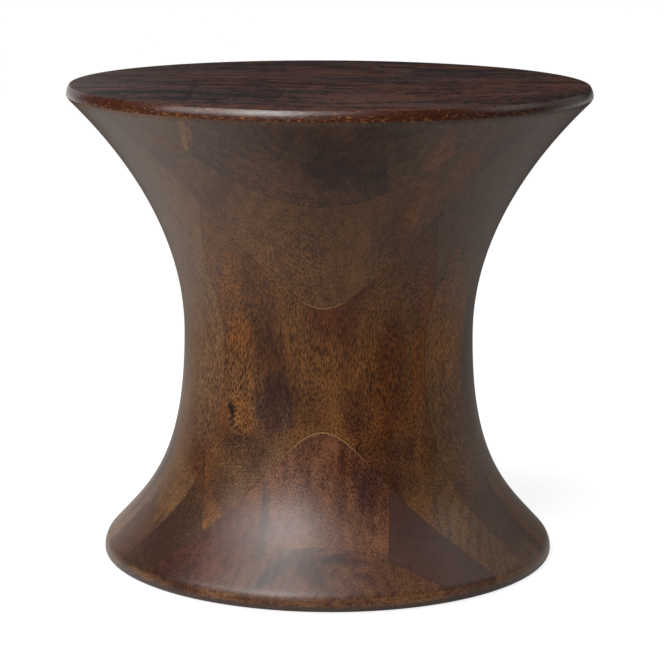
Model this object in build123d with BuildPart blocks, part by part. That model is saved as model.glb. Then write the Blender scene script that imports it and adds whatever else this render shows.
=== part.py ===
from build123d import *

import os
from math import cos, radians, sin

os.makedirs("parts", exist_ok=True)

# A round side table with an hourglass body. The body is turned from a block of
# upright planks that are glued face to face. A thin round top of flat boards
# covers it. Origin: centre of the footprint, on the floor. +Z is up, the front
# looks along -Y, and the planks lie in layers parallel to the XZ plane.

# ---------------------------------------------------------------- sizes in mm

# The turned body
top_radius = 250.0  # where the body meets the underside of the top
body_height = 446.0
waist_radius = 139.8
waist_height = 218.0
base_radius = 219.0

# Its outline, from the foot to the lip
foot_round = 3.8
rim_set_back = 5.1
rim_height = 17.5
lower_flare_angle = 47.6  # degrees from level
lower_flare_pull = 53.5
lower_waist_pull = 130.0
upper_waist_pull = 96.5
upper_flare_pull = 67.0
upper_flare_angle = 45.0  # degrees from level
lip_set_back = 3.5
lip_height = 4.7

# The round top
top_thickness = 10.0
top_side_lean = 3.3
top_edge_bevel = 0.6
centre_board_width = 120.0
outer_board_width = 70.0

# The glued block that the body is turned from
core_board_thickness = 52.2
core_layers_each_side = 2
first_facing_thickness = 40.0
top_tip_depth = 25.6  # from the last glue line to the edge, under the top
foot_tip_depth = 34.6  # the same at the foot
hollow_half_width = 55.0

# Edge joints between planks of one facing layer, along X on the front half.
# Layer 1 lies next to the core. The back half is the same, turned about Z.
layer_1_left_joint = -112.0
layer_1_right_joint = 103.0
layer_2_upper_joint = 45.0
layer_2_lower_joint = 62.0
layer_3_upper_left_joint = -118.0
layer_3_upper_right_joint = 57.0
layer_3_lower_joint = 68.0

# Dowels that hold the top on the body
dowel_radius = 4.0
dowel_depth_in_body = 22.0
dowel_depth_in_top = 6.0
dowel_chamfer = 0.8
dowel_glue_gap = 0.05
dowel_end_gap = 0.3
outer_dowel_edge_distance = 45.0
outer_dowel_angles = (24.0, 69.0)  # degrees from the X axis, in each quarter
inner_dowel_radius = 152.0
inner_dowel_angle = 10.0

# Nailed glides let into the underside
glide_radius = 11.0
glide_thickness = 4.0
glide_stand_off = 1.5
glide_edge_round = 1.0
glide_recess_gap = 0.3
glide_edge_distance = 24.0
glide_angle = 40.0
nail_radius = 1.2
nail_depth_in_wood = 12.0
nail_head_radius = 3.0
nail_head_thickness = 0.8
nail_head_set_in = 0.8
nail_head_gap = 0.2
nail_hole_gap = 0.05
nail_end_gap = 0.3

# ------------------------------------------------------------- worked-out sizes

base_z = glide_stand_off
body_top_z = base_z + body_height
waist_z = base_z + waist_height
cut_margin = 5.0  # how far the uncut planks stand out past the turned outline
blank_half_width = max(top_radius, base_radius) + cut_margin
core_half_depth = core_layers_each_side * core_board_thickness
first_facing_depth = core_half_depth + first_facing_thickness
last_upper_depth = top_radius - top_tip_depth
middle_upper_depth = (first_facing_depth + last_upper_depth) / 2
last_lower_depth = base_radius - foot_tip_depth
outer_dowel_radius = top_radius - outer_dowel_edge_distance
glide_ring_radius = base_radius - glide_edge_distance
dowel_hole_radius = dowel_radius + dowel_glue_gap
glide_recess_radius = glide_radius + glide_recess_gap
glide_recess_depth = glide_thickness - glide_stand_off
nail_hole_radius = nail_radius + nail_hole_gap
nail_hole_depth = glide_recess_depth + nail_depth_in_wood + nail_end_gap
nail_head_top_z = nail_head_set_in + nail_head_thickness

# Facing layers above and below the waist: the distance of the inner glue plane
# from the axis, that of the outer one, and the edge joints between the planks.
upper_layers = (
    (core_half_depth, first_facing_depth, (layer_1_left_joint, layer_1_right_joint)),
    (first_facing_depth, middle_upper_depth, (layer_2_upper_joint,)),
    (
        middle_upper_depth,
        last_upper_depth,
        (layer_3_upper_left_joint, layer_3_upper_right_joint),
    ),
    (last_upper_depth, blank_half_width, ()),
)
lower_layers = (
    (core_half_depth, first_facing_depth, (layer_1_left_joint, layer_1_right_joint)),
    (first_facing_depth, last_lower_depth, (layer_2_lower_joint,)),
    (last_lower_depth, blank_half_width, (layer_3_lower_joint,)),
)


def in_each_quarter(radius, angle):
    """The four points at one radius, mirrored into the four quarters."""
    x = radius * cos(radians(angle))
    y = radius * sin(radians(angle))
    return [(x, y), (-x, y), (-x, -y), (x, -y)]


dowel_places = in_each_quarter(inner_dowel_radius, inner_dowel_angle)
for angle in outer_dowel_angles:
    dowel_places += in_each_quarter(outer_dowel_radius, angle)
glide_places = in_each_quarter(glide_ring_radius, glide_angle)


def places_within(places, reach, x_range, y_range):
    """The places whose circle of radius reach touches the rectangle."""
    return [
        (x, y)
        for x, y in places
        if x_range[0] - reach < x < x_range[1] + reach
        and y_range[0] - reach < y < y_range[1] + reach
    ]


def save(piece, name):
    piece.part.label = name
    export_step(piece.part, f"parts/{name}.step")


# ------------------------------------------------------------- turned outlines

rim_point = Vector(base_radius - rim_set_back, rim_height)
lower_slope = Vector(-cos(radians(lower_flare_angle)), sin(radians(lower_flare_angle)))
waist_point = Vector(waist_radius, waist_height)
upper_slope = Vector(cos(radians(upper_flare_angle)), sin(radians(upper_flare_angle)))
lip_point = Vector(top_radius - lip_set_back, body_height - lip_height)

with BuildPart() as turned_body:
    with BuildSketch(Plane(origin=(0, 0, base_z), x_dir=(1, 0, 0), z_dir=(0, -1, 0))):
        with BuildLine():
            Line((0, 0), (base_radius - foot_round, 0))
            TangentArc(
                (base_radius - foot_round, 0), (base_radius, foot_round), tangent=(1, 0)
            )
            TangentArc(rim_point, (base_radius, foot_round), tangent=lower_slope * -1)
            Bezier(
                rim_point,
                rim_point + lower_slope * lower_flare_pull,
                waist_point - Vector(0, lower_waist_pull),
                waist_point,
            )
            Bezier(
                waist_point,
                waist_point + Vector(0, upper_waist_pull),
                lip_point - upper_slope * upper_flare_pull,
                lip_point,
            )
            TangentArc(lip_point, (top_radius, body_height), tangent=upper_slope)
            Line((top_radius, body_height), (0, body_height))
            Line((0, body_height), (0, 0))
        make_face()
    revolve(axis=Axis.Z)

with BuildPart() as turned_top:
    with BuildSketch(
        Plane(origin=(0, 0, body_top_z), x_dir=(1, 0, 0), z_dir=(0, -1, 0))
    ) as top_outline:
        with BuildLine():
            Line((0, 0), (top_radius, 0))
            TangentArc(
                (top_radius, 0), (top_radius - top_side_lean, top_thickness), tangent=(0, 1)
            )
            Line((top_radius - top_side_lean, top_thickness), (0, top_thickness))
            Line((0, top_thickness), (0, 0))
        make_face()
        upper_corner = top_outline.vertices().group_by(Axis.Y)[-1].sort_by(Axis.X)[-1]
        chamfer(upper_corner, top_edge_bevel)
    revolve(axis=Axis.Z)

# ----------------------------------------------------------- planks of the body


def make_plank(name, x_range, y_range, z_range):
    """One upright plank, cut to the turned outline, with its drilled holes."""
    width = x_range[1] - x_range[0]
    depth = y_range[1] - y_range[0]
    centre = ((x_range[0] + x_range[1]) / 2, (y_range[0] + y_range[1]) / 2)
    with BuildPart() as plank:
        with BuildSketch(Plane.XY.offset(z_range[0])):
            with Locations(centre):
                Rectangle(width, depth)
        extrude(amount=z_range[1] - z_range[0])
        add(turned_body.part, mode=Mode.INTERSECT)
        if z_range[1] >= body_top_z:
            for x, y in places_within(dowel_places, dowel_hole_radius, x_range, y_range):
                with Locations((x, y, body_top_z)):
                    Hole(dowel_hole_radius, dowel_depth_in_body + dowel_end_gap)
        if z_range[0] <= base_z:
            for x, y in places_within(glide_places, glide_recess_radius, x_range, y_range):
                with Locations(Location((x, y, base_z), (180, 0, 0))):
                    Hole(glide_recess_radius, glide_recess_depth)
                    Hole(nail_hole_radius, nail_hole_depth)
    save(plank, name)


def side_by_side(joints):
    """X ranges of the planks of one layer, and a word for each."""
    stops = [-blank_half_width, *sorted(joints), blank_half_width]
    ranges = list(zip(stops[:-1], stops[1:]))
    words = {1: [""], 2: ["_left", "_right"], 3: ["_left", "_centre", "_right"]}
    return list(zip(ranges, words[len(ranges)]))


full_height = (base_z, body_top_z)
upper_half = (waist_z, body_top_z)
lower_half = (base_z, waist_z)

# Core: planks to the left and right of an open hollow, in layers front to back.
for layer in range(-core_layers_each_side, core_layers_each_side):
    y_range = (layer * core_board_thickness, (layer + 1) * core_board_thickness)
    number = layer + core_layers_each_side + 1
    left = (-blank_half_width, -hollow_half_width)
    right = (hollow_half_width, blank_half_width)
    make_plank(f"core_plank_{number}_left", left, y_range, full_height)
    make_plank(f"core_plank_{number}_right", right, y_range, full_height)

# Facing layers: the middle plank of layer 1 runs the full height. The others are
# turned away at the waist and leave an upper and a lower piece.
for side, turn in (("front", 1), ("back", -1)):
    for half, layers, z_range in (
        ("upper", upper_layers, upper_half),
        ("lower", lower_layers, lower_half),
    ):
        for layer, (inner, outer, joints) in enumerate(layers, start=1):
            y_range = tuple(sorted((-turn * inner, -turn * outer)))
            for x_range, word in side_by_side([turn * joint for joint in joints]):
                if layer == 1 and word == "_centre":
                    continue
                make_plank(f"{side}_plank_{layer}_{half}{word}", x_range, y_range, z_range)
    y_range = tuple(sorted((-turn * core_half_depth, -turn * first_facing_depth)))
    x_range = tuple(sorted((turn * layer_1_left_joint, turn * layer_1_right_joint)))
    make_plank(f"{side}_plank_1_centre", x_range, y_range, full_height)

# --------------------------------------------------------------- boards of the top

centre_joint = centre_board_width / 2
outer_joint = top_radius - outer_board_width
board_stops = (
    -blank_half_width,
    -outer_joint,
    -centre_joint,
    centre_joint,
    outer_joint,
    blank_half_width,
)

for number, y_range in enumerate(zip(board_stops[:-1], board_stops[1:]), start=1):
    x_range = (-blank_half_width, blank_half_width)
    with BuildPart() as top_board:
        with BuildSketch(Plane.XY.offset(body_top_z)):
            with Locations((0, (y_range[0] + y_range[1]) / 2)):
                Rectangle(2 * blank_half_width, y_range[1] - y_range[0])
        extrude(amount=top_thickness)
        add(turned_top.part, mode=Mode.INTERSECT)
        for x, y in places_within(dowel_places, dowel_hole_radius, x_range, y_range):
            with Locations(Location((x, y, body_top_z), (180, 0, 0))):
                Hole(dowel_hole_radius, dowel_depth_in_top + dowel_end_gap)
    save(top_board, f"top_board_{number}")

# ------------------------------------------------------------ dowels and glides

with BuildPart() as top_dowels:
    with BuildSketch(Plane.XY.offset(body_top_z - dowel_depth_in_body)):
        with Locations(*dowel_places):
            Circle(dowel_radius)
    extrude(amount=dowel_depth_in_body + dowel_depth_in_top)
    ends = top_dowels.edges().filter_by(GeomType.CIRCLE)
    chamfer(ends, dowel_chamfer)
save(top_dowels, "top_dowels")

with BuildPart() as floor_glides:
    with BuildSketch():
        with Locations(*glide_places):
            Circle(glide_radius)
    extrude(amount=glide_thickness)
    fillet(floor_glides.edges().group_by(Axis.Z)[0], glide_edge_round)
    with BuildSketch():
        with Locations(*glide_places):
            Circle(nail_hole_radius)
    extrude(amount=glide_thickness, mode=Mode.SUBTRACT)
    with BuildSketch():
        with Locations(*glide_places):
            Circle(nail_head_radius + nail_head_gap)
    extrude(amount=nail_head_top_z, mode=Mode.SUBTRACT)
save(floor_glides, "floor_glides")

with BuildPart() as glide_nails:
    with BuildSketch(Plane.XY.offset(nail_head_set_in)):
        with Locations(*glide_places):
            Circle(nail_head_radius)
    extrude(amount=nail_head_thickness)
    with BuildSketch(Plane.XY.offset(nail_head_top_z)):
        with Locations(*glide_places):
            Circle(nail_radius)
    extrude(amount=glide_thickness - nail_head_top_z + nail_depth_in_wood)
save(glide_nails, "glide_nails")
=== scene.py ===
import math
import random

import bpy
from mathutils import Matrix, Vector


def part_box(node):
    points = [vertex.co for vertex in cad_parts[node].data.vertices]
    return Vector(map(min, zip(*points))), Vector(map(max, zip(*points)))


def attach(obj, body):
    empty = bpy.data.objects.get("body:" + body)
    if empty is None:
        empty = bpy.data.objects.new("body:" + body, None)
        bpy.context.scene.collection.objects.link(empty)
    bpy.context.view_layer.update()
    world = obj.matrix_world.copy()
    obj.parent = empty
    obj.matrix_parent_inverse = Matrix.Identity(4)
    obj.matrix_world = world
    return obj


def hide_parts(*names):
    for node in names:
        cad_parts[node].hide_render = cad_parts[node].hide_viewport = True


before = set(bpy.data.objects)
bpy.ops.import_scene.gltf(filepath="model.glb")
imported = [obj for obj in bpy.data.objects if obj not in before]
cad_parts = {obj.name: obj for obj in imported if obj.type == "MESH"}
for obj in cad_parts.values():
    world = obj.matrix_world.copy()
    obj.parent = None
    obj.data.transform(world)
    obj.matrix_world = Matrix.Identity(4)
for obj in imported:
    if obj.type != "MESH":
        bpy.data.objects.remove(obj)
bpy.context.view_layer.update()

# A round side table: an hourglass body turned from glued upright planks, under a
# thin round top of flat boards. Lengths are in metres. The turned surfaces and
# the cuts between the planks follow the fixed frame.

# ------------------------------------------------------------------- sizes

base_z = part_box("front_plank_2_lower_left")[0].z
body_top_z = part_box("top_board_3")[0].z
table_top_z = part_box("top_board_3")[1].z
body_height = body_top_z - base_z
top_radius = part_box("top_board_3")[1].x

# Outline of the turned body, as distance from the axis and height over its foot
waist_radius = 0.1398
waist_height = 0.218
base_radius = 0.219
foot_round = 0.0038
rim_set_back = 0.0051
rim_height = 0.0175
lower_flare_angle = 47.6  # degrees from level
lower_flare_pull = 0.0535
lower_waist_pull = 0.130
upper_waist_pull = 0.0965
upper_flare_pull = 0.067
upper_flare_angle = 45.0  # degrees from level
lip_set_back = 0.0035
lip_height = 0.0047

# Outline of the round top
top_side_lean = 0.0033
top_edge_round = 0.0009

# Planes of the glue joints, as distances from the middle plane of the block
glue_planes = (0.0, 0.0522, 0.1044, 0.1444, 0.1844, 0.2244)

# Dowels, glides and nails
dowel_radius = 0.004
dowel_gap = 0.00005
dowel_chamfer = 0.0008
dowel_low_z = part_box("top_dowels")[0].z
dowel_high_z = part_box("top_dowels")[1].z
dowel_end_gap = 0.0003
inner_dowel_radius = 0.152
inner_dowel_angle = 10.0
outer_dowel_radius = top_radius - 0.045
outer_dowel_angles = (24.0, 69.0)
glide_radius = 0.011
glide_top_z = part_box("floor_glides")[1].z
glide_edge_round = 0.001
glide_gap = 0.0003
glide_ring_radius = base_radius - 0.024
glide_angle = 40.0
nail_radius = 0.0012
nail_head_radius = 0.003
nail_gap = 0.00005
nail_head_gap = 0.0002
nail_head_low_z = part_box("glide_nails")[0].z
nail_head_high_z = nail_head_low_z + 0.0008
nail_tip_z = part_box("glide_nails")[1].z
nail_end_gap = 0.0003

# Distances of the edge joints between neighbouring planks of one layer, and
# of the joints between the boards of the top
edge_joints = (0.055, 0.112, 0.103, 0.045, 0.062, 0.118, 0.057, 0.068)
board_joints = (0.060, 0.180)

# How finely the surfaces are divided, and how near two points or planes are the same
steps_round = 360
seat_steps = 48
dowel_steps = 32
glide_steps = 64
nail_steps = 24
outline_step = 0.0035
arc_steps = 8
edge_steps = 5
sharp_angle = 35.0  # degrees
same_place = 0.00001
lathe_merge = same_place / 10
plank_merge = same_place / 5
cut_margin = 0.005

# Lines of the glue joints on the turned surface
glue_film = 0.00016
dark_joint = 0.0004
dark_joint_weight = 0.7
pale_glue_plane = glue_planes[3]
pale_line_heights = (0.25, 0.18)
pale_line_reach = (0.022, 0.046)  # to both sides, at the waist and in the foot
pale_line_fade = (1.1, 0.6)

# Stained wood: the pale and the deep colour of each tone
stains = {
    "honey": ((0.205, 0.078, 0.018), (0.042, 0.012, 0.003)),
    "russet": ((0.140, 0.056, 0.026), (0.033, 0.010, 0.005)),
    "walnut": ((0.210, 0.090, 0.030), (0.062, 0.022, 0.007)),
    "umber": ((0.165, 0.068, 0.028), (0.036, 0.013, 0.007)),
    "copper": ((0.166, 0.061, 0.025), (0.040, 0.012, 0.005)),
    "coffee": ((0.078, 0.036, 0.018), (0.024, 0.010, 0.005)),
    "plum": ((0.080, 0.034, 0.023), (0.036, 0.015, 0.010)),
    "tan": ((0.160, 0.080, 0.032), (0.040, 0.015, 0.005)),
    "dusk": ((0.212, 0.101, 0.039), (0.089, 0.039, 0.014)),
    "fawn": ((0.228, 0.110, 0.042), (0.060, 0.024, 0.009)),
    "ebony": ((0.085, 0.032, 0.021), (0.010, 0.004, 0.004)),
}
plank_tones = {
    "core": "fawn",
    "plank_1_centre": "honey",
    "plank_1_lower_left": "coffee",
    "plank_1_lower_right": "tan",
    "plank_1_upper_left": "dusk",
    "plank_1_upper_right": "dusk",
    "plank_2_lower_left": "copper",
    "plank_2_lower_right": "plum",
    "plank_2_upper_left": "walnut",
    "plank_2_upper_right": "walnut",
    "plank_3_lower_left": "russet",
    "plank_3_lower_right": "umber",
    "plank_3_upper_left": "dusk",
    "plank_3_upper_centre": "umber",
    "plank_3_upper_right": "walnut",
    "plank_4_upper": "umber",
}
cool_tinge = (0.72, 0.95, 1.25, 1)
pore_colour = (0.012, 0.006, 0.004, 1)
glue_colour = (0.26, 0.14, 0.06, 1)
worn_colour = (0.165, 0.078, 0.032, 1)
# Painted shade on the foot's lowest edge, greyed as by the floor's reflection
painted_foot_shade = (0.045, 0.033, 0.029, 1)
side_colour = (0.038, 0.009, 0.003, 1)
fleck_colour = (0.30, 0.110, 0.026, 1)

# Textures: waves per metre along x, y and z, detail, and roughness
textures = {
    "wander": ((5.5, 5.5, 3.0), 2.0, 0.5),
    "unrest": ((14.0, 14.0, 2.0), 2.0, 0.5),
    "clouds": ((11.0, 11.0, 6.0), 2.0, 0.5),
    "bands": ((27.0, 27.0, 2.5), 2.0, 0.5),
    "streaks": ((130.0, 130.0, 9.0), 2.0, 0.6),
    "mottle": ((150.0, 150.0, 90.0), 2.0, 0.5),
    "fibre": ((1300.0, 1300.0, 190.0), 1.0, 0.6),
    "dashes": ((1600.0, 1600.0, 170.0), 1.0, 0.6),
    "tinge": ((16.0, 16.0, 7.0), 2.0, 0.5),
    "ragged edge": ((60.0, 60.0, 16.0), 3.0, 0.6),
    "foot fleck": ((170.0, 170.0, 420.0), 3.0, 0.7),
    "foot wear": ((13.0, 13.0, 1.0), 2.0, 0.5),
    "side fleck": ((260.0, 260.0, 620.0), 2.0, 0.6),
    "sawn": ((300, 300, 20), 3.0, 0.5),
    "beech": ((500, 500, 30), 3.0, 0.5),
    "moulded": ((900, 900, 900), 3.0, 0.5),
    "drawn wire": ((700, 700, 700), 3.0, 0.5),
}

# How the figure sways, and where its soft steps begin and end
seed_shift = (1.31, 2.17, 0.73)
wander_reach = (0.09, 0.09, 0.0)
knot_oval = (1.0, 0.0, 0.45)
ring_unrest = 3.0
middle_tone = 0.45
pore_edges = (0.55, 0.70)
pore_weight = 0.65
cool_edges = (0.45, 0.68)
mark_raggedness = (1.8, 1.8, 1.8)
mark_edges = (1.35, 0.45)

# The worn band round the foot, and the painted shade, greyed like a reflection, under it
worn_low = (base_z + 0.0065, base_z + 0.0085)
worn_high = (base_z + 0.0155, base_z + 0.0135)
worn_raggedness = 0.004
worn_fleck_edges = (0.36, 0.62)
worn_patch_edges = (0.36, 0.58)
foot_shade_weight = 0.6

# The boards of the top, and their side, rubbed most near its lower edge
board_stretch = 0.8
board_coarseness = 0.4  # of the fibres across the boards, against those of the planks
board_pith = -0.52
board_figure = {"Streaks": 4.0, "Mottle": 1.8, "Bands": 1.2, "Cool": 1.2}
side_edges = (0.85, 0.6)  # of the upward part of the surface's direction
side_weight = 0.85
side_gloss = 0.18
lower_edge_heights = (body_top_z + 0.006, body_top_z + 0.001)
lower_edge_wear = 0.08
rubbed_edges = (0.59, 0.80)
rubbed_weight = 0.8

# Lacquer: roughness, how much the grain changes it, and the height of the grain
plank_lacquer = (0.36, 0.25, 0.00015)
board_lacquer = (0.38, 0.3, 0.0001)
lacquer_gloss = 0.40
lacquer_relief = 0.3

# Small parts: how their tone and roughness vary, and the height of their grain
plain_tones = (0.6, 1.4)
plain_unevenness = 0.2
plain_relief = 0.2
plain_grain_height = 0.0002

# What is drawn at random, and between which values
draw = random.Random(7).uniform
seeds = (0, 20)
pith_distances = (0.05, 0.14)
pith_depth = 0.15
plank_leans = (-0.07, 0.07)
board_pith_shifts = (-0.03, 0.03)
board_leans = (-0.02, 0.02)
mark_margin = 0.01
core_mark_places = (-0.10, 0.10)
mark_half_widths = (0.008, 0.020)
mark_half_heights = (0.025, 0.060)
mark_leans = (-20, 20)

# Tints that darken or brighten the wood
knot = (0.10, 0.09, 0.12)
dark_heart = (0.52, 0.44, 0.52)
swath = (0.52, 0.50, 0.66)
greyed = (0.86, 1.00, 1.50)
dusky = (0.72, 0.74, 1.00)
warmed = (1.00, 0.90, 0.70)
# Painted sheen: it lightens and cools the wood where a highlight shows
painted_sheen = (1.15, 1.22, 1.45)
shade = (0.72, 0.66, 0.70)
ruby = (0.84, 0.68, 0.60)
amber = (1.20, 1.06, 0.88)
glow = (1.45, 1.22, 0.90)
sunlit = (1.25, 1.20, 1.05)
sapwood = (1.90, 1.75, 1.35)
slate = (0.50, 0.62, 0.85)

# Marks in the figure of single planks, some of them painted sheen: x and z of the middle,
# half width and half height, lean in degrees, and tint
figure_marks = {
    "front_plank_1_centre": (
        (-0.062, 0.268, 0.018, 0.048, 13, shade),
        (-0.047, 0.212, 0.021, 0.048, 13, swath),
        (-0.045, 0.170, 0.024, 0.034, 0, swath),
        (-0.072, 0.135, 0.042, 0.070, 0, greyed),
        (-0.088, 0.138, 0.016, 0.018, 0, shade),
        (0.090, 0.115, 0.036, 0.050, 0, greyed),
        (0.055, 0.122, 0.026, 0.030, 0, dusky),
        (0.012, 0.262, 0.030, 0.036, 0, ruby),
        (0.000, 0.268, 0.022, 0.024, 0, warmed),
        (0.030, 0.292, 0.020, 0.022, 0, shade),
        (-0.085, 0.290, 0.012, 0.024, 0, sunlit),
        (-0.036, 0.120, 0.018, 0.016, 0, painted_sheen),
        (0.056, 0.205, 0.018, 0.055, 0, warmed),
        (0.030, 0.172, 0.018, 0.026, 0, shade),
        (-0.066, 0.128, 0.012, 0.018, -25, shade),
        (-0.013, 0.175, 0.014, 0.022, 0, shade),
        (-0.077, 0.240, 0.011, 0.018, 0, glow),
        (-0.074, 0.160, 0.010, 0.020, 20, glow),
        (-0.094, 0.150, 0.006, 0.016, -10, amber),
        (-0.0861, 0.1647, 0.0028, 0.0060, 15, knot),
        (-0.082, 0.139, 0.010, 0.006, 0, shade),
        (-0.100, 0.205, 0.004, 0.060, 0, shade),
        (0.020, 0.250, 0.014, 0.050, 0, shade),
        (0.028, 0.170, 0.014, 0.030, 0, shade),
        (0.062, 0.200, 0.012, 0.060, 0, ruby),
        (0.060, 0.130, 0.034, 0.034, 0, ruby),
        (0.065, 0.098, 0.022, 0.016, 0, shade),
        (0.0890, 0.210, 0.0080, 0.080, 0, glow),
        (0.0980, 0.285, 0.0080, 0.050, 0, glow),
        (0.0321, 0.1365, 0.0012, 0.005, -15, knot),
        (-0.098, 0.092, 0.018, 0.022, 0, shade),
    ),
    "core_plank_1_left": (
        (-0.118, 0.128, 0.022, 0.044, 0, shade),
        (-0.116, 0.110, 0.014, 0.022, 0, ruby),
        (-0.180, 0.030, 0.050, 0.042, 0, dark_heart),
    ),
    "core_plank_1_right": (
        (0.1074, 0.2881, 0.0015, 0.003, 0, knot),
        (0.112, 0.212, 0.014, 0.040, 0, painted_sheen),
        (0.118, 0.250, 0.034, 0.080, 0, glow),
        (0.114, 0.250, 0.022, 0.080, 0, sunlit),
        (0.147, 0.235, 0.012, 0.065, 0, ruby),
        (0.165, 0.050, 0.060, 0.055, 0, swath),
    ),
    "front_plank_1_lower_left": (
        (-0.150, 0.040, 0.030, 0.030, 0, shade),
        (-0.118, 0.094, 0.010, 0.024, 30, glow),
    ),
    "front_plank_2_upper_left": (
        (-0.100, 0.365, 0.012, 0.060, -35, shade),
        (-0.140, 0.425, 0.020, 0.012, 0, sunlit),
        (0.0296, 0.3688, 0.0012, 0.001, 0, knot),
    ),
    "front_plank_2_upper_right": (
        (0.090, 0.360, 0.060, 0.070, 0, sunlit),
        (0.085, 0.365, 0.008, 0.040, -25, glow),
        (0.130, 0.405, 0.010, 0.030, -40, glow),
        (0.070, 0.330, 0.016, 0.024, 0, shade),
    ),
    "front_plank_1_upper_right": ((0.106, 0.3545, 0.002, 0.003, 30, knot),),
    "front_plank_3_upper_centre": (
        (0.010, 0.402, 0.026, 0.020, 0, dark_heart),
        (0.050, 0.404, 0.020, 0.018, 0, shade),
        (-0.070, 0.405, 0.010, 0.030, 55, sunlit),
        (-0.116, 0.434, 0.004, 0.016, 0, sapwood),
    ),
    "front_plank_4_upper": (
        (0.012, 0.418, 0.022, 0.014, -35, dark_heart),
        (-0.030, 0.428, 0.022, 0.006, 60, shade),
        (0.065, 0.434, 0.022, 0.006, 0, shade),
    ),
    "front_plank_3_upper_left": ((-0.120, 0.434, 0.004, 0.016, 0, sapwood),),
    "front_plank_3_upper_right": (
        (0.110, 0.410, 0.060, 0.050, 0, sunlit),
        (0.105, 0.415, 0.008, 0.030, -30, glow),
        (0.072, 0.420, 0.012, 0.012, 0, shade),
    ),
    "front_plank_2_lower_left": (
        (-0.053, 0.072, 0.005, 0.028, 0, slate),
        (0.018, 0.095, 0.005, 0.050, 0, shade),
        (0.045, 0.095, 0.014, 0.026, 0, swath),
        (0.026, 0.124, 0.018, 0.016, 0, ruby),
        # Painted sheen where a highlight lies low on this plank
        (0.052, 0.042, 0.018, 0.030, 0, painted_sheen),
        (-0.038, 0.098, 0.030, 0.028, 0, painted_sheen),
        (-0.140, 0.030, 0.036, 0.036, 0, dark_heart),
        (-0.085, 0.055, 0.032, 0.034, 0, shade),
    ),
    "front_plank_3_lower_left": (
        (-0.010, 0.034, 0.010, 0.022, 55, dark_heart),
        (0.012, 0.0435, 0.022, 0.004, 0, dark_heart),
        (-0.045, 0.030, 0.020, 0.006, 35, slate),
        (-0.120, 0.016, 0.026, 0.010, 0, shade),
        (0.050, 0.047, 0.025, 0.005, 0, sunlit),
    ),
    "front_plank_1_lower_right": (
        (0.1648, 0.0129, 0.004, 0.0035, 0, sapwood),
        (0.125, 0.075, 0.010, 0.030, 20, sunlit),
    ),
}

# Planks whose figure differs from the common one
figure_choices = {
    "front_plank_1_lower_right": {"Rings": 0.35, "Ring width": 0.009, "Fibres": 4.5},
    "front_plank_2_lower_left": {"Streaks": 1.6, "Bands": 1.2, "Fibres": 4.2},
    "front_plank_3_lower_left": {"Streaks": 1.2, "Rings": 0.3, "Fibres": 4.4},
    "front_plank_2_lower_right": {"Clouds": 0.3, "Fibres": 1.8},
    "front_plank_1_upper_left": {"Mottle": 1.3, "Fibres": 5.0},
    "front_plank_1_upper_right": {"Mottle": 1.3, "Fibres": 5.0},
    "front_plank_2_upper_left": {"Mottle": 1.0, "Clouds": 1.2, "Fibres": 3.2},
    "front_plank_2_upper_right": {"Mottle": 1.2, "Clouds": 1.2},
    "front_plank_3_upper_left": {"Mottle": 1.6, "Bands": 1.2, "Fibres": 5.0},
    "front_plank_3_upper_centre": {"Mottle": 2.0, "Bands": 1.2, "Fibres": 5.0},
    "front_plank_3_upper_right": {"Mottle": 1.6, "Bands": 1.2, "Fibres": 5.0},
    "front_plank_4_upper": {"Mottle": 2.0, "Bands": 1.2, "Fibres": 5.0},
    "core_plank_1_right": {"Clouds": 0.3, "Bands": 0.3},
}

# Knots that the fibres flow round, as x and z of the middle, and the radius
knots = {
    "front_plank_1_centre": (-0.084, 0.160, 0.006),
    "back_plank_2_upper_left": (0.040, 0.330, 0.005),
    "back_plank_1_centre": (0.050, 0.170, 0.006),
}
clear_of_knots = (10.0, 10.0, 0.001)

# Vectors that halve, or that keep some of the axes only
all_halves = (0.5, 0.5, 0.5)
across_only = (1.0, 0.0, 0.0)
level_only = (1.0, 1.0, 0.0)

scene = bpy.context.scene


# --------------------------------------------------------- building node trees


def put(tree, kind, inputs=None, **settings):
    """Adds a node. Each input is a plain value or a socket that feeds it."""
    node = tree.nodes.new(kind)
    for name, value in settings.items():
        setattr(node, name, value)
    for name, value in (inputs or {}).items():
        feed(tree, value, node.inputs[name])
    return node


def feed(tree, value, socket):
    if isinstance(value, bpy.types.NodeSocket):
        tree.links.new(value, socket)
    else:
        socket.default_value = value


def calc(tree, operation, *values):
    """One Math node. Returns its result."""
    return put(tree, "ShaderNodeMath", dict(enumerate(values)), operation=operation).outputs[0]


def product(tree, first, *others):
    for value in others:
        first = calc(tree, "MULTIPLY", first, value)
    return first


def vector_calc(tree, operation, *values, result="Vector"):
    """One Vector Math node. Returns its result."""
    node = put(tree, "ShaderNodeVectorMath", dict(enumerate(values)), operation=operation)
    return node.outputs[result]


def scaled(tree, vector, factor):
    inputs = {0: vector, "Scale": factor}
    return put(tree, "ShaderNodeVectorMath", inputs, operation="SCALE").outputs["Vector"]


def length(tree, vector):
    return vector_calc(tree, "LENGTH", vector, result="Value")


def part(tree, vector, axis):
    return put(tree, "ShaderNodeSeparateXYZ", {"Vector": vector}).outputs[axis]


def new_tree(name, kind, inputs, outputs):
    """A node group with sockets of a name, a type and for some a value.

    Returns it and its input sockets.
    """
    tree = bpy.data.node_groups.new(name, kind)
    for way, sockets in (("INPUT", inputs), ("OUTPUT", outputs)):
        for label, value_type, *default in sockets:
            socket_type = f"NodeSocket{value_type}"
            socket = tree.interface.new_socket(label, in_out=way, socket_type=socket_type)
            if default:
                socket.default_value = default[0]
    group_input = tree.nodes.new("NodeGroupInput")
    return tree, {socket.name: socket for socket in group_input.outputs if socket.name}


def close_tree(tree, **results):
    """Feeds the group's outputs."""
    group_output = tree.nodes.new("NodeGroupOutput")
    for label, value in results.items():
        feed(tree, value, group_output.inputs[label.replace("_", " ").capitalize()])


# --------------------------------------------------------------- outlines


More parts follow.
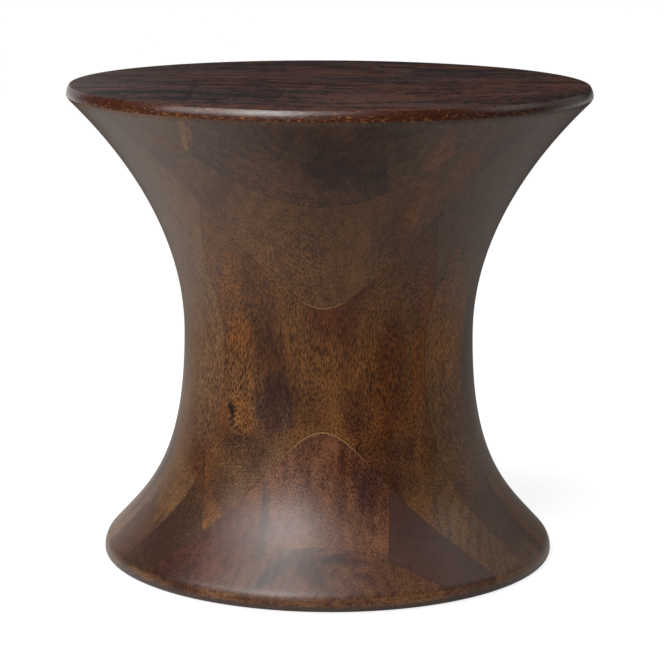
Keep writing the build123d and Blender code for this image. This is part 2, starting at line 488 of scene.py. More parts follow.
def bend(start, end, heading, steps):
    """Points of the round arc that leaves start along heading and ends at end."""
    start, end, heading = Vector(start), Vector(end), Vector(heading).normalized()
    side = Vector((-heading.y, heading.x))
    chord = end - start
    radius = chord.length_squared / (2 * chord.dot(side))
    centre = start + side * radius
    spoke = start - centre
    turn = 2 * heading.angle_signed(chord.normalized()) * -1
    return [centre + Matrix.Rotation(turn * i / steps, 2) @ spoke for i in range(steps + 1)]


def bezier(a, b, c, d):
    """Points of a cubic Bezier curve, about one outline step apart."""
    a, b, c, d = Vector(a), Vector(b), Vector(c), Vector(d)
    steps = math.ceil((d - a).length / outline_step)
    points = []
    for i in range(steps + 1):
        t = i / steps
        s = 1 - t
        points.append(a * s**3 + b * 3 * s * s * t + c * 3 * s * t * t + d * t**3)
    return points


def body_outline():
    """The body's outline from the axis at the foot to the axis under the top."""
    slope = math.radians(lower_flare_angle)
    lower_slope = Vector((-math.cos(slope), math.sin(slope)))
    slope = math.radians(upper_flare_angle)
    upper_slope = Vector((math.cos(slope), math.sin(slope)))
    foot = Vector((base_radius, foot_round))
    rim = Vector((base_radius - rim_set_back, rim_height))
    waist = Vector((waist_radius, waist_height))
    lip = Vector((top_radius - lip_set_back, body_height - lip_height))
    points = [Vector((0, 0))]
    points += bend((base_radius - foot_round, 0), foot, (1, 0), arc_steps)
    points += reversed(bend(rim, foot, lower_slope * -1, arc_steps))
    points += bezier(
        rim, rim + lower_slope * lower_flare_pull, waist - Vector((0, lower_waist_pull)), waist
    )
    points += bezier(
        waist, waist + Vector((0, upper_waist_pull)), lip - upper_slope * upper_flare_pull, lip
    )
    points += bend(lip, (top_radius, body_height), upper_slope, edge_steps)
    points.append(Vector((0, body_height)))
    return [(point.x, point.y + base_z) for point in points]


def top_outline():
    """The outline of the round top, with a leaning side and a rounded upper edge."""
    thickness = table_top_z - body_top_z
    corner = Vector((top_radius - top_side_lean, thickness))
    side = bend((top_radius, 0), corner, (0, 1), arc_steps)
    heading = (side[-1] - side[-2]).normalized()
    side[-1] = corner - heading * top_edge_round
    edge = bend(side[-1], corner - Vector((top_edge_round, 0)), heading, edge_steps)
    points = [Vector((0, 0)), *side, *edge, Vector((0, thickness))]
    return [(point.x, point.y + body_top_z) for point in points]


def dowel_outline(radius, low_z, high_z, chamfer):
    return [
        (0, low_z),
        (radius - chamfer, low_z),
        (radius, low_z + chamfer),
        (radius, high_z - chamfer),
        (radius - chamfer, high_z),
        (0, high_z),
    ]


def hole_outline(radius, low_z, high_z):
    return [(0, low_z), (radius, low_z), (radius, high_z), (0, high_z)]


def glide_seat_outline():
    """The sunk seat of a glide, with the hole of its nail over it."""
    seat = glide_radius + glide_gap
    bore = nail_radius + nail_gap
    return [
        (0, base_z - cut_margin),
        (seat, base_z - cut_margin),
        (seat, glide_top_z),
        (bore, glide_top_z),
        (bore, nail_tip_z + nail_end_gap),
        (0, nail_tip_z + nail_end_gap),
    ]


def glide_outline():
    """A flat ring with a rounded lower edge and a sunk seat for the nail's head."""
    bore = nail_radius + nail_gap
    seat = nail_head_radius + nail_head_gap
    start = (glide_radius - glide_edge_round, 0)
    rounded = bend(start, (glide_radius, glide_edge_round), (1, 0), edge_steps)
    return [
        (bore, nail_head_high_z),
        (seat, nail_head_high_z),
        (seat, 0),
        *[(point.x, point.y) for point in rounded],
        (glide_radius, glide_top_z),
        (bore, glide_top_z),
        (bore, nail_head_high_z),
    ]


def nail_outline():
    """A round nail, head down, with a softened head and a short point."""
    soft = 0.0002
    point_length = 0.002
    return [
        (0, nail_head_low_z),
        (nail_head_radius - soft, nail_head_low_z),
        (nail_head_radius, nail_head_low_z + soft),
        (nail_head_radius, nail_head_high_z - soft),
        (nail_head_radius - soft, nail_head_high_z),
        (nail_radius, nail_head_high_z),
        (nail_radius, nail_tip_z - point_length),
        (0, nail_tip_z),
    ]


def in_each_quarter(radius, angle):
    """The four points at one radius, mirrored into the four quarters."""
    x = radius * math.cos(math.radians(angle))
    y = radius * math.sin(math.radians(angle))
    return [(x, y), (-x, y), (-x, -y), (x, -y)]


# ----------------------------------------------------------- geometry node trees


def merged(tree, geometry, distance):
    """Joins the points that lie nearer to each other than the distance."""
    inputs = {"Geometry": geometry, "Distance": distance}
    return put(tree, "GeometryNodeMergeByDistance", inputs).outputs[0]


def realised(tree, geometry):
    return put(tree, "GeometryNodeRealizeInstances", {"Geometry": geometry}).outputs[0]


def covered(tree, geometry, material, selection=True):
    """Gives a material to the selected faces."""
    inputs = {"Geometry": geometry, "Selection": selection, "Material": material}
    return put(tree, "GeometryNodeSetMaterial", inputs).outputs[0]


def turned_on(lathe, tree, given):
    """The outline that a tree is given, turned by the lathe group."""
    inputs = {name: given[name] for name in ("Outline", "Steps round")}
    return put(tree, "GeometryNodeGroup", inputs, node_tree=lathe).outputs[0]


def lathe_tree():
    """Turns an outline, given as a row of points in the XZ plane, about Z."""
    tree, given = new_tree(
        "lathe",
        "GeometryNodeTree",
        [("Outline", "Geometry"), ("Steps round", "Int", 64)],
        [("Turned", "Geometry")],
    )
    count = put(tree, "GeometryNodeAttributeDomainSize", {"Geometry": given["Outline"]})
    stops = calc(tree, "ADD", given["Steps round"], 1.0)
    sheet = put(
        tree,
        "GeometryNodeMeshGrid",
        {"Vertices X": count.outputs["Point Count"], "Vertices Y": stops},
    )
    index = put(tree, "GeometryNodeInputIndex").outputs[0]
    # Half a stop more keeps the division from rounding down to the row before
    row = calc(tree, "FLOOR", calc(tree, "DIVIDE", calc(tree, "ADD", index, 0.5), stops))
    stop = calc(tree, "SUBTRACT", index, product(tree, row, stops))
    turn = calc(tree, "DIVIDE", product(tree, stop, math.tau), given["Steps round"])
    place = put(tree, "GeometryNodeInputPosition").outputs[0]
    sample = put(
        tree,
        "GeometryNodeSampleIndex",
        {"Geometry": given["Outline"], "Value": place, "Index": row},
        data_type="FLOAT_VECTOR",
    )
    point = put(tree, "ShaderNodeSeparateXYZ", {"Vector": sample.outputs[0]})
    turned_place = put(
        tree,
        "ShaderNodeCombineXYZ",
        {
            "X": product(tree, point.outputs["X"], calc(tree, "COSINE", turn)),
            "Y": product(tree, point.outputs["X"], calc(tree, "SINE", turn)),
            "Z": point.outputs["Z"],
        },
    )
    moved = put(
        tree,
        "GeometryNodeSetPosition",
        {"Geometry": sheet.outputs["Mesh"], "Position": turned_place.outputs[0]},
    )
    closed = merged(tree, moved.outputs[0], lathe_merge)
    outward = put(tree, "GeometryNodeFlipFaces", {"Mesh": closed})
    close_tree(tree, turned=outward.outputs[0])
    return tree


def smoothed(tree, geometry):
    """Smooth shading, apart from the edges where two surfaces meet at an angle."""
    smooth = put(
        tree, "GeometryNodeSetShadeSmooth", {"Geometry": geometry, "Shade Smooth": True}
    )
    angle = put(tree, "GeometryNodeInputMeshEdgeAngle").outputs["Unsigned Angle"]
    return put(
        tree,
        "GeometryNodeSetShadeSmooth",
        {
            "Geometry": smooth.outputs[0],
            "Selection": calc(tree, "GREATER_THAN", angle, math.radians(sharp_angle)),
            "Shade Smooth": False,
        },
        domain="EDGE",
    ).outputs[0]


def plank_tree(lathe):
    """A turned solid, cut to one block and drilled. Turned and cut faces differ in finish."""
    tree, given = new_tree(
        "turned plank",
        "GeometryNodeTree",
        [
            ("Outline", "Geometry"),
            ("Steps round", "Int", 64),
            ("Low corner", "Vector"),
            ("High corner", "Vector"),
            ("Dowel drill", "Object"),
            ("Glide drill", "Object"),
            ("Turned finish", "Material"),
            ("Sawn finish", "Material"),
        ],
        [("Piece", "Geometry")],
    )
    marked = put(
        tree,
        "GeometryNodeStoreNamedAttribute",
        {"Geometry": turned_on(lathe, tree, given), "Name": "turned", "Value": 1.0},
        data_type="FLOAT",
        domain="FACE",
    )
    size = vector_calc(tree, "SUBTRACT", given["High corner"], given["Low corner"])
    middle = vector_calc(tree, "ADD", given["High corner"], given["Low corner"])
    block = put(tree, "GeometryNodeMeshCube", {"Size": size})
    placed = put(
        tree,
        "GeometryNodeTransform",
        {
            "Geometry": block.outputs["Mesh"],
            "Translation": vector_calc(tree, "MULTIPLY", middle, all_halves),
        },
    )
    cut = put(tree, "GeometryNodeMeshBoolean", operation="INTERSECT", solver="MANIFOLD")
    tree.links.new(marked.outputs[0], cut.inputs[1])
    tree.links.new(placed.outputs[0], cut.inputs[1])
    drilled = put(tree, "GeometryNodeMeshBoolean", operation="DIFFERENCE", solver="MANIFOLD")
    tree.links.new(cut.outputs[0], drilled.inputs[0])
    for drill in ("Dowel drill", "Glide drill"):
        holes = put(tree, "GeometryNodeObjectInfo", {"Object": given[drill]})
        tree.links.new(holes.outputs["Geometry"], drilled.inputs[1])
    # Joins the points that a cut through the axis leaves side by side
    joined = merged(tree, drilled.outputs[0], plank_merge)
    sawn = covered(tree, realised(tree, smoothed(tree, joined)), given["Sawn finish"])
    mark = put(
        tree, "GeometryNodeInputNamedAttribute", {"Name": "turned"}, data_type="FLOAT"
    ).outputs["Attribute"]
    is_turned = calc(tree, "GREATER_THAN", mark, 0.5)
    close_tree(tree, piece=covered(tree, sawn, given["Turned finish"], is_turned))
    return tree


def set_tree(lathe):
    """The same small turned piece at each of a set of places."""
    tree, given = new_tree(
        "set of turned pieces",
        "GeometryNodeTree",
        [
            ("Outline", "Geometry"),
            ("Steps round", "Int", 32),
            ("Places", "Object"),
            ("Finish", "Material"),
        ],
        [("Pieces", "Geometry")],
    )
    places = put(tree, "GeometryNodeObjectInfo", {"Object": given["Places"]})
    points = put(tree, "GeometryNodeMeshToPoints", {"Mesh": places.outputs["Geometry"]})
    shape = smoothed(tree, turned_on(lathe, tree, given))
    inputs = {"Points": points.outputs[0], "Instance": shape}
    copies = put(tree, "GeometryNodeInstanceOnPoints", inputs).outputs[0]
    close_tree(tree, pieces=covered(tree, realised(tree, copies), given["Finish"]))
    return tree


def mesh_object(name, points, edges=()):
    """An object of bare points, or of points joined by edges."""
    mesh = bpy.data.meshes.new(name)
    mesh.from_pydata(points, edges, [])
    thing = bpy.data.objects.new(name, mesh)
    scene.collection.objects.link(thing)
    return thing


def made_by(tree, name, outline, **choices):
    """Runs a geometry tree on an outline. Returns the result as a plain mesh object."""
    points = [(x, 0, z) for x, z in outline]
    draft = mesh_object("draft", points, [(i, i + 1) for i in range(len(points) - 1)])
    modifier = draft.modifiers.new("maker", "NODES")
    modifier.node_group = tree
    for socket in tree.interface.items_tree:
        key = socket.name.replace(" ", "_").lower()
        if socket.in_out == "INPUT" and key in choices:
            modifier[socket.identifier] = choices[key]
    evaluated = draft.evaluated_get(bpy.context.evaluated_depsgraph_get())
    mesh = bpy.data.meshes.new_from_object(evaluated)
    mesh.name = name
    bpy.data.objects.remove(draft)
    piece = bpy.data.objects.new(name, mesh)
    scene.collection.objects.link(piece)
    return piece


# ------------------------------------------------------------------ finishes


def new_material(name):
    """An empty material with its output. Returns the material and its node tree."""
    material = bpy.data.materials.new(name)
    material.use_nodes = True
    material.node_tree.nodes.clear()
    return material, material.node_tree


def finish_material(tree, shader):
    output = tree.nodes.new("ShaderNodeOutputMaterial")
    tree.links.new(shader.outputs[0], output.inputs["Surface"])


def texture(tree, place, name, result="Fac"):
    """Noise by its name in the table of textures, drawn out along the axes."""
    waves, detail, roughness = textures[name]
    stretched = vector_calc(tree, "MULTIPLY", place, waves)
    inputs = {"Vector": stretched, "Scale": 1.0, "Detail": detail, "Roughness": roughness}
    return put(tree, "ShaderNodeTexNoise", inputs).outputs[result]


def sway(tree, place, name, reach):
    """A vector that strays to both sides of nought by about half the reach."""
    centred = vector_calc(tree, "SUBTRACT", texture(tree, place, name, "Color"), all_halves)
    return vector_calc(tree, "MULTIPLY", centred, reach)


def blend(tree, share, first, second, mode="MIX"):
    node = tree.nodes.new("ShaderNodeMix")
    node.data_type = "RGBA"
    node.blend_type = mode
    for value, index in ((share, 0), (first, 6), (second, 7)):
        feed(tree, value, node.inputs[index])
    return node.outputs[2]


def weighted(tree, start, *parts):
    """Start, plus each value's distance from a half times its weight."""
    total = start
    for value, weight in parts:
        total = calc(tree, "MULTIPLY_ADD", calc(tree, "SUBTRACT", value, 0.5), weight, total)
    return total


def soft_step(tree, value, edges, ends=(0.0, 1.0)):
    """Turns softly from the first end to the second as the value goes from edge to edge."""
    names = ("Value", "From Min", "From Max", "To Min", "To Max")
    inputs = dict(zip(names, (value, *edges, *ends)))
    return put(
        tree, "ShaderNodeMapRange", inputs, interpolation_type="SMOOTHSTEP"
    ).outputs[0]


def wood_figure():
    """Node group: the colour of stained wood whose fibres run along Z."""
    tree, given = new_tree(
        "wood figure",
        "ShaderNodeTree",
        [
            ("Place", "Vector"),
            ("Pith", "Vector"),
            ("Lean", "Vector"),
            ("Seed", "Float", 0.0),
            ("Knot", "Vector"),
            ("Knot radius", "Float", 0.001),
            ("Ring width", "Float", 0.011),
            ("Rings", "Float", 0.10),
            ("Clouds", "Float", 0.55),
            ("Bands", "Float", 0.45),
            ("Streaks", "Float", 0.5),
            ("Mottle", "Float", 0.45),
            ("Fibres", "Float", 4.3),
            ("Cool", "Float", 0.3),
            ("Pale", "Color"),
            ("Deep", "Color"),
        ],
        [("Colour", "Color"), ("Grain", "Float"), ("Pores", "Float")],
    )
    shift = put(
        tree,
        "ShaderNodeCombineXYZ",
        {axis: product(tree, given["Seed"], step) for axis, step in zip("XYZ", seed_shift)},
    ).outputs[0]
    seeded = vector_calc(tree, "ADD", given["Place"], shift)

    # The fibres lean, and wander slowly from side to side
    lean = scaled(tree, given["Lean"], part(tree, given["Place"], "Z"))
    bent = vector_calc(tree, "ADD", seeded, sway(tree, seeded, "wander", wander_reach))
    bent = vector_calc(tree, "ADD", bent, lean)

    # They part round a knot, as water does round a pile
    from_knot = vector_calc(tree, "SUBTRACT", given["Place"], given["Knot"])
    reach = length(tree, vector_calc(tree, "MULTIPLY", from_knot, knot_oval))
    share = calc(tree, "DIVIDE", given["Knot radius"], reach)
    share = calc(tree, "MINIMUM", product(tree, share, share), 1.0)
    sideways = vector_calc(tree, "MULTIPLY", from_knot, across_only)
    bent = vector_calc(tree, "SUBTRACT", bent, scaled(tree, sideways, share))

    # Growth rings about the pith
    from_pith = vector_calc(
        tree, "SUBTRACT", bent, vector_calc(tree, "ADD", given["Pith"], shift)
    )
    radius = length(tree, vector_calc(tree, "MULTIPLY", from_pith, level_only))
    turns = calc(tree, "DIVIDE", radius, given["Ring width"])
    turns = calc(tree, "MULTIPLY_ADD", texture(tree, bent, "unrest"), ring_unrest, turns)
    wave = calc(tree, "SINE", product(tree, turns, math.tau))
    ring = calc(tree, "POWER", calc(tree, "MULTIPLY_ADD", wave, 0.5, 0.5), 2.0)

    fibre = texture(tree, bent, "fibre")
    tone = weighted(
        tree,
        middle_tone,
        (texture(tree, bent, "clouds"), given["Clouds"]),
        (texture(tree, bent, "bands"), given["Bands"]),
        (texture(tree, bent, "streaks"), given["Streaks"]),
        (texture(tree, bent, "mottle"), given["Mottle"]),
        (fibre, given["Fibres"]),
        (ring, product(tree, given["Rings"], -1.0)),
    )
    pores = soft_step(tree, texture(tree, bent, "dashes"), pore_edges)
    stained = blend(tree, tone, given["Deep"], given["Pale"])
    stained = blend(tree, product(tree, pores, pore_weight), stained, pore_colour)

    # Some clouds of the stain are cooler than the rest
    tinge = soft_step(tree, texture(tree, bent, "tinge"), cool_edges)
    cool = product(tree, tinge, given["Cool"])
    stained = blend(tree, cool, stained, cool_tinge, "MULTIPLY")
    close_tree(tree, colour=stained, grain=fibre, pores=pores)
    return tree


def figure_mark():
    """Node group: a soft-edged, ragged oval, such as a knot, a dark heart or a patch of painted
    sheen.

    It shows on the faces that cross the two axes named by 1 in Plane.
    """
    tree, given = new_tree(
        "figure mark",
        "ShaderNodeTree",
        [
            ("Place", "Vector"),
            ("Middle", "Vector"),
            ("Half size", "Vector"),
            ("Plane", "Vector", (1, 0, 1)),
            ("Lean", "Float", 0.0),
        ],
        [("Mask", "Float")],
    )
    ragged = sway(tree, given["Place"], "ragged edge", mark_raggedness)
    from_middle = vector_calc(tree, "SUBTRACT", given["Place"], given["Middle"])
    turned = put(
        tree,
        "ShaderNodeVectorRotate",
        {"Vector": from_middle, "Angle": given["Lean"]},
        rotation_type="Y_AXIS",
    ).outputs[0]
    share = vector_calc(tree, "DIVIDE", turned, given["Half size"])
    share = vector_calc(tree, "ADD", share, ragged)
    share = vector_calc(tree, "MULTIPLY", share, given["Plane"])
    close_tree(tree, mask=soft_step(tree, length(tree, share), mark_edges))
    return tree


def joint_lines():
    """Node group: the pale glue of the facing joints, and the other joints, dark with stain."""
    tree, given = new_tree(
        "joint lines",
        "ShaderNodeTree",
        [
            ("Place", "Vector"),
            ("Left joint", "Float", 0.0),
            ("Right joint", "Float", 0.0),
        ],
        [("Pale", "Float"), ("Dark", "Float")],
    )
    split = put(tree, "ShaderNodeSeparateXYZ", {"Vector": given["Place"]})
    depth = calc(tree, "ABSOLUTE", split.outputs["Y"])

    def away(value, plane):
        return calc(tree, "ABSOLUTE", calc(tree, "SUBTRACT", value, plane))

    dark = depth
    for plane in glue_planes[1:]:
        if plane != pale_glue_plane:
            dark = calc(tree, "MINIMUM", dark, away(depth, plane))
    for joint in (given["Left joint"], given["Right joint"]):
        dark = calc(tree, "MINIMUM", dark, away(split.outputs["X"], joint))
    pale = calc(tree, "LESS_THAN", away(depth, pale_glue_plane), glue_film / 2)
    # The pale line is widest in the foot, and dies out to both sides
    reach = soft_step(tree, split.outputs["Z"], pale_line_heights, pale_line_reach)
    sideways = calc(tree, "DIVIDE", away(split.outputs["X"], 0.0), reach)
    close_tree(
        tree,
        pale=product(tree, pale, soft_step(tree, sideways, pale_line_fade)),
        dark=calc(tree, "LESS_THAN", dark, dark_joint / 2),
    )
    return tree


def bumpy(tree, height, strength, distance):
    inputs = {"Height": height, "Strength": strength, "Distance": distance}
    return put(tree, "ShaderNodeBump", inputs).outputs[0]


def lacquered(tree, colour, look, lacquer, *changes):
    """The satin lacquer over a wood colour. Changes are values and weights of roughness."""
    roughness, unevenness, height = lacquer
    relief = calc(tree, "SUBTRACT", look.outputs["Grain"], look.outputs["Pores"])
    inputs = {
        "Base Color": colour,
        "Roughness": weighted(tree, roughness, (look.outputs["Grain"], unevenness), *changes),
        "Normal": bumpy(tree, relief, lacquer_relief, height),
        "Specular IOR Level": lacquer_gloss,
    }
    finish_material(tree, put(tree, "ShaderNodeBsdfPrincipled", inputs))


def marks_of(node, low_x, high_x):
    """A plank's own marks, and for one at the back or in the core that has none, three
    soft ones at random."""
    marks = [
        ((x, 0, z), (half_width, 1, half_height), (1, 0, 1), lean, tint)
        for x, z, half_width, half_height, lean, tint in figure_marks.get(node, ())
    ]
    if marks or node.startswith("front"):
        return marks
    low_z, high_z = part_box(node)[0].z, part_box(node)[1].z
    for tint in (dark_heart, shade, sunlit):
        if "core" in node:
            x, y, plane = 0, draw(*core_mark_places), (0, 1, 1)
        else:
            x, y, plane = draw(low_x + mark_margin, high_x - mark_margin), 0, (1, 0, 1)
        z = draw(low_z, high_z)
        half_width = draw(*mark_half_widths)
        half_height = draw(*mark_half_heights)
        lean = 0 if "core" in node else draw(*mark_leans)
        marks.append(((x, y, z), (half_width, half_width, half_height), plane, lean, tint))
    return marks


def stained_wood(tree, stain, place, pith, lean, choices, knot=clear_of_knots):
    """The figure of one plank or board under its stain."""
    pale, deep = stains[stain]
    inputs = {
        "Place": place,
        "Pith": pith,
        "Lean": lean,
        "Seed": draw(*seeds),
        "Knot": (knot[0], 0, knot[1]),
        "Knot radius": knot[2],
        "Pale": (*pale, 1),
        "Deep": (*deep, 1),
        **choices,
    }
    return put(tree, "ShaderNodeGroup", inputs, node_tree=wood)


def plank_finish(node, low_x, high_x):
    """Stained and lacquered wood of one plank of the body, with painted sheen in some marks and a
    painted shade on the foot's lowest edge.
    """
    name = node.split("_", 1)[1] if "core" not in node else "core"
    material, tree = new_material(f"{node}_lacquered")
    place = put(tree, "ShaderNodeTexCoord").outputs["Object"]
    away = draw(0, math.tau)
    distance = draw(*pith_distances)
    pith_x = (low_x + high_x) / 2 + distance * math.cos(away)
    pith = (pith_x, distance * math.sin(away) - pith_depth, 0)
    lean = (draw(*plank_leans), draw(*plank_leans), 0)
    choices = figure_choices.get(node, {})
    knot_here = knots.get(node, clear_of_knots)
    look = stained_wood(tree, plank_tones[name], place, pith, lean, choices, knot_here)
    colour = look.outputs["Colour"]
    # Each mark tints the wood, and the sheen marks paint a highlight into its colour
    for middle, half_size, plane, lean, tint in marks_of(node, low_x, high_x):
        inputs = {
            "Place": place,
            "Middle": middle,
            "Half size": half_size,
            "Plane": plane,
            "Lean": math.radians(lean),
        }
        mask = put(tree, "ShaderNodeGroup", inputs, node_tree=mark).outputs["Mask"]
        colour = blend(tree, mask, colour, (*tint, 1), "MULTIPLY")

    # The worn band round the foot, and the painted shade, greyed like a reflection, under it
    fleck = texture(tree, place, "foot fleck")
    ragged = calc(tree, "MULTIPLY_ADD", fleck, worn_raggedness, part(tree, place, "Z"))
    worn = product(
        tree,
        soft_step(tree, ragged, worn_high),
        soft_step(tree, ragged, worn_low),
        soft_step(tree, fleck, worn_fleck_edges),
        soft_step(tree, texture(tree, place, "foot wear"), worn_patch_edges),
    )
    colour = blend(tree, worn, colour, worn_colour)
    # Painted shade on the lowest edge, under the worn band
    under = soft_step(tree, ragged, reversed(worn_low), (0.0, foot_shade_weight))
    colour = blend(tree, under, colour, painted_foot_shade)

    inputs = {"Place": place, "Left joint": low_x, "Right joint": high_x}
    lines = put(tree, "ShaderNodeGroup", inputs, node_tree=joints)
    dark = product(tree, lines.outputs["Dark"], dark_joint_weight)
    colour = blend(tree, dark, colour, pore_colour)
    colour = blend(tree, lines.outputs["Pale"], colour, glue_colour)
    lacquered(tree, colour, look, plank_lacquer)
    return material


def board_finish(node, low_y, high_y):
    """Stained and lacquered wood of one board of the top, with its fibres along X."""
    material, tree = new_material(f"{node}_lacquered")
    place = put(tree, "ShaderNodeTexCoord")
    along = put(
        tree,
        "ShaderNodeMapping",
        {
            "Vector": place.outputs["Object"],
            "Rotation": (0, math.pi / 2, 0),
            "Scale": (board_stretch, board_coarseness, board_coarseness),
        },
    ).outputs[0]
    middle_y = (low_y + high_y) / 2 * board_coarseness
    pith = (board_pith, middle_y + draw(*board_pith_shifts), 0)
    lean = (0, draw(*board_leans), 0)
    look = stained_wood(tree, "ebony", along, pith, lean, board_figure)

    # The rounded side is stained a darker red, and rubbed through to small bright flecks
    side = soft_step(tree, part(tree, place.outputs["Normal"], "Z"), side_edges)
    side_share = product(tree, side, side_weight)
    colour = blend(tree, side_share, look.outputs["Colour"], side_colour)
    height = part(tree, place.outputs["Object"], "Z")
    fleck = texture(tree, place.outputs["Object"], "side fleck")
    lower_edge = soft_step(tree, height, lower_edge_heights)
    rubbed = calc(tree, "MULTIPLY_ADD", lower_edge, lower_edge_wear, fleck)
    rubbed = product(tree, soft_step(tree, rubbed, rubbed_edges), side, rubbed_weight)
    colour = blend(tree, rubbed, colour, fleck_colour)
    lacquered(tree, colour, look, board_lacquer, (side, -side_gloss))
    return material


def plain_finish(name, colour, roughness, grain, metallic=0.0):
    """A small part's finish: one colour with a fine uneven grain in tone and gloss."""
    material, tree = new_material(name)
    place = put(tree, "ShaderNodeTexCoord").outputs["Object"]
    speckle = texture(tree, place, grain)
    dark, bright = [(*[level * tone for level in colour], 1) for tone in plain_tones]
    inputs = {
        "Base Color": blend(tree, speckle, dark, bright),
        "Roughness": weighted(tree, roughness, (speckle, plain_unevenness)),
        "Normal": bumpy(tree, speckle, plain_relief, plain_grain_height),
        "Metallic": metallic,
    }
    finish_material(tree, put(tree, "ShaderNodeBsdfPrincipled", inputs))
    return material


# ------------------------------------------------------------------- pieces


def cut_box(node):
    """The block that a piece is cut from: its joint planes, and clear air elsewhere."""
    low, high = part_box(node)
    for axis, planes in ((0, edge_joints), (1, glue_planes + board_joints), (2, ())):
        if not any(abs(abs(low[axis]) - plane) < same_place for plane in planes):
            low[axis] -= cut_margin
        if not any(abs(abs(high[axis]) - plane) < same_place for plane in planes):
            high[axis] += cut_margin
    return low, high


def keep(piece, slot, *nodes):
    """Attaches a finished piece to the root body, and hides the parts that it replaces."""
    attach(piece, "root")
    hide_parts(*nodes)


lathe = lathe_tree()
plank_maker = plank_tree(lathe)
set_maker = set_tree(lathe)

dowel_places = in_each_quarter(inner_dowel_radius, inner_dowel_angle)
for angle in outer_dowel_angles:
    dowel_places += in_each_quarter(outer_dowel_radius, angle)
glide_places = in_each_quarter(glide_ring_radius, glide_angle)
dowel_spots = mesh_object("dowel_spots", [(x, y, 0) for x, y in dowel_places])
glide_spots = mesh_object("glide_spots", [(x, y, 0) for x, y in glide_places])

wood = wood_figure()
mark = figure_mark()
joints = joint_lines()
sawn_wood = plain_finish("sawn_wood", (0.30, 0.19, 0.11), 0.75, "sawn")
dowel_wood = plain_finish("dowel_beech", (0.45, 0.30, 0.17), 0.6, "beech")
glide_plastic = plain_finish("glide_plastic", (0.02, 0.018, 0.016), 0.5, "moulded")
nail_steel = plain_finish("nail_steel", (0.55, 0.55, 0.56), 0.35, "drawn wire", 1.0)


def turned_set(name, outline, steps, spots, finish):
    """The same small turned piece at each of the spots."""
    return made_by(set_maker, name, outline, steps_round=steps, places=spots, finish=finish)


# Drills for the dowel sockets and for the seats of the glides and their nails
socket_radius = dowel_radius + dowel_gap
socket_outline = hole_outline(
    socket_radius, dowel_low_z - dowel_end_gap, dowel_high_z + dowel_end_gap
)
dowel_drill = turned_set("dowel_drill", socket_outline, nail_steps, dowel_spots, sawn_wood)
glide_drill = turned_set(
    "glide_drill", glide_seat_outline(), seat_steps, glide_spots, sawn_wood
)


def turned_pieces(kind, outline, finish_of, axis, slot):
    """Cuts every node of one kind. Its finish depends on its joints along one axis."""
    for node in sorted(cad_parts):
        if kind not in node:
            continue
        low, high = cut_box(node)
        piece = made_by(
            plank_maker,
            f"{node}_turned",
            outline,
            steps_round=steps_round,
            low_corner=low,
            high_corner=high,
            dowel_drill=dowel_drill,
            glide_drill=glide_drill,
            turned_finish=finish_of(node, low[axis], high[axis]),
            sawn_finish=sawn_wood,
        )
        keep(piece, slot, node)


turned_pieces("plank", body_outline(), plank_finish, 0, "body_wood")
turned_pieces("top_board", top_outline(), board_finish, 1, "top_wood")

dowel_shape = dowel_outline(dowel_radius, dowel_low_z, dowel_high_z, dowel_chamfer)
dowels = turned_set("beech_dowels", dowel_shape, dowel_steps, dowel_spots, dowel_wood)
keep(dowels, "dowel_wood", "top_dowels")
glides = turned_set("moulded_glides", glide_outline(), glide_steps, glide_spots, glide_plastic)
keep(glides, "glide_plastic", "floor_glides")
nails = turned_set("wire_nails", nail_outline(), nail_steps, glide_spots, nail_steel)
keep(nails, "nail_steel", "glide_nails")

for helper in (dowel_spots, glide_spots, dowel_drill, glide_drill):
    bpy.data.objects.remove(helper)

# -------------------------------------------------------------- studio

camera_distance = 2.2754  # from the table's axis, level
camera_height = 0.6756
camera_azimuth = math.radians(2.0)
camera_tilt = math.radians(11.444)
camera_roll = math.radians(0.29)
focal_length = 129.33
sensor_width = 36.0
frame_width = 665
axis_offset = 3.86  # how far the table's axis stands left of the frame's middle, in pixels

camera_data = bpy.data.cameras.new("camera")
camera_data.lens = focal_length
camera_data.sensor_width = sensor_width
camera_data.shift_x = axis_offset / frame_width
camera = bpy.data.objects.new("camera", camera_data)
scene.collection.objects.link(camera)
camera.matrix_world = (
    Matrix.Rotation(camera_azimuth, 4, "Z")
    @ Matrix.Translation((0, -camera_distance, camera_height))
    @ Matrix.Rotation(math.pi / 2 - camera_tilt, 4, "X")
    @ Matrix.Rotation(camera_roll, 4, "Z")
)
scene.camera = camera


# Square softboxes that face the table: azimuth (0 is the front, 90 the table's right)
# and elevation in degrees, side, and power in watts
table_middle = Vector((0, 0, 0.25))
softbox_distance = 2.2
softboxes = {
    "key": (-28, 40, 0.9, 36.0),
    "left_wing": (-60, 35, 0.9, 13.5),
    "high_left": (-45, 60, 1.0, 12.6),
    "high_front": (-8, 52, 1.1, 10.0),
    "right_wing": (90, 35, 1.0, 4.5),
    "left_rim": (-148, 12, 1.3, 3.6),
    "right_rim": (122, 12, 1.3, 2.1),
}
for name, (azimuth, elevation, side, power) in softboxes.items():
    lamp = bpy.data.lights.new(name, "AREA")
    lamp.size = side
    lamp.energy = power
    softbox = bpy.data.objects.new(name, lamp)
    scene.collection.objects.link(softbox)
    turn, rise = math.radians(azimuth), math.radians(elevation)
    away = (math.sin(turn) * math.cos(rise), -math.cos(turn) * math.cos(rise), math.sin(rise))
    place = table_middle + softbox_distance * Vector(away)
    softbox.location = place
    softbox.rotation_euler = (table_middle - place).to_track_quat("-Z", "Y").to_euler()

# The floor's paint, what the camera sees it glow, and its glow in reflections, which
# is strongest in a patch to each side and far off. Distances from the table come first.
floor_reach = 30.0
paint_distances = (0.95, 0.6)
paint_levels = (0.05, 0.40)
near_glow_distances = (0.28, 0.5)
near_glow = (0.86, 1.0)
patch_middle = (0.30, 0.40, 0.0)
patch_distances = (1.00, 0.40)
patch_sides = (0.2, -0.2)
patch_glow = (0.29, 0.53)
far_glow_distances = (2.5, 4.5)
far_glow = (0.0, 0.6)
world_glow = 0.04
white = (1, 1, 1, 1)


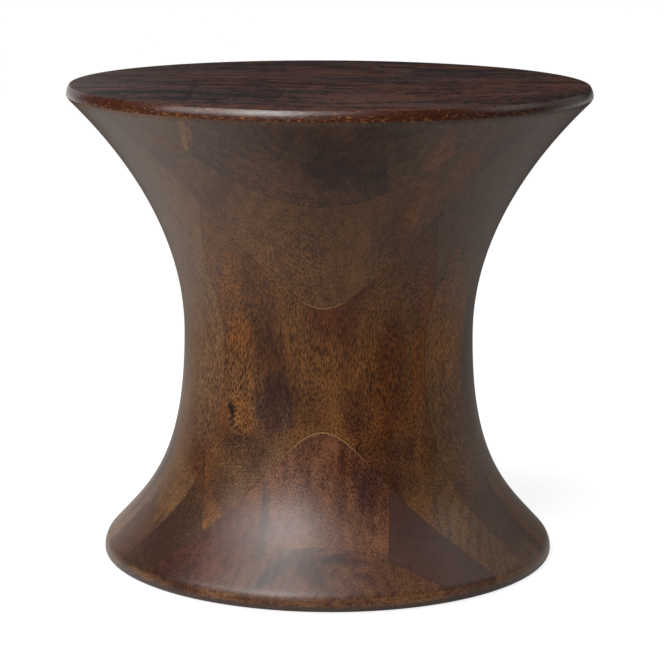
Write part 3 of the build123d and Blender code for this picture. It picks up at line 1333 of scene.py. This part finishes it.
def studio_floor():
    """A pale floor that shows white, and keeps the table's shadow."""
    mesh = bpy.data.meshes.new("studio_floor")
    corners = [(x * floor_reach, y * floor_reach, 0) for x, y in ((-1, -1), (1, -1), (1, 1), (-1, 1))]
    mesh.from_pydata(corners, [], [(0, 1, 2, 3)])
    floor = bpy.data.objects.new("studio_floor", mesh)
    scene.collection.objects.link(floor)
    material, tree = new_material("studio_floor")
    path = put(tree, "ShaderNodeLightPath")
    place = put(tree, "ShaderNodeTexCoord").outputs["Object"]
    distance = length(tree, place)
    mirrored = calc(
        tree, "MAXIMUM", path.outputs["Is Glossy Ray"], path.outputs["Is Transmission Ray"]
    )
    # Folding the two sides into one puts a patch to each side
    to_side = calc(tree, "ABSOLUTE", part(tree, place, "X"))
    inputs = {"X": to_side, "Y": part(tree, place, "Y")}
    folded = put(tree, "ShaderNodeCombineXYZ", inputs).outputs[0]
    from_patch = length(tree, vector_calc(tree, "SUBTRACT", folded, patch_middle))
    strength = soft_step(tree, part(tree, place, "X"), patch_sides, patch_glow)
    close_by = product(tree, soft_step(tree, from_patch, patch_distances), strength)
    far_off = soft_step(tree, distance, far_glow_distances, far_glow)
    mirrored = product(tree, mirrored, calc(tree, "ADD", close_by, far_off))
    near = soft_step(tree, distance, near_glow_distances, near_glow)
    seen = product(tree, path.outputs["Is Camera Ray"], near)
    pale = soft_step(tree, distance, paint_distances, paint_levels)
    paint = put(tree, "ShaderNodeBsdfDiffuse", {"Color": pale})
    inputs = {"Color": white, "Strength": calc(tree, "MAXIMUM", seen, mirrored)}
    shine = put(tree, "ShaderNodeEmission", inputs)
    both = put(tree, "ShaderNodeAddShader", {0: paint.outputs[0], 1: shine.outputs[0]})
    finish_material(tree, both)
    mesh.materials.append(material)


studio_floor()
world = bpy.data.worlds.new("studio")
world.use_nodes = True
world.node_tree.nodes["Background"].inputs["Color"].default_value = white
world.node_tree.nodes["Background"].inputs["Strength"].default_value = world_glow
scene.world = world
scene.view_settings.view_transform = "Standard"
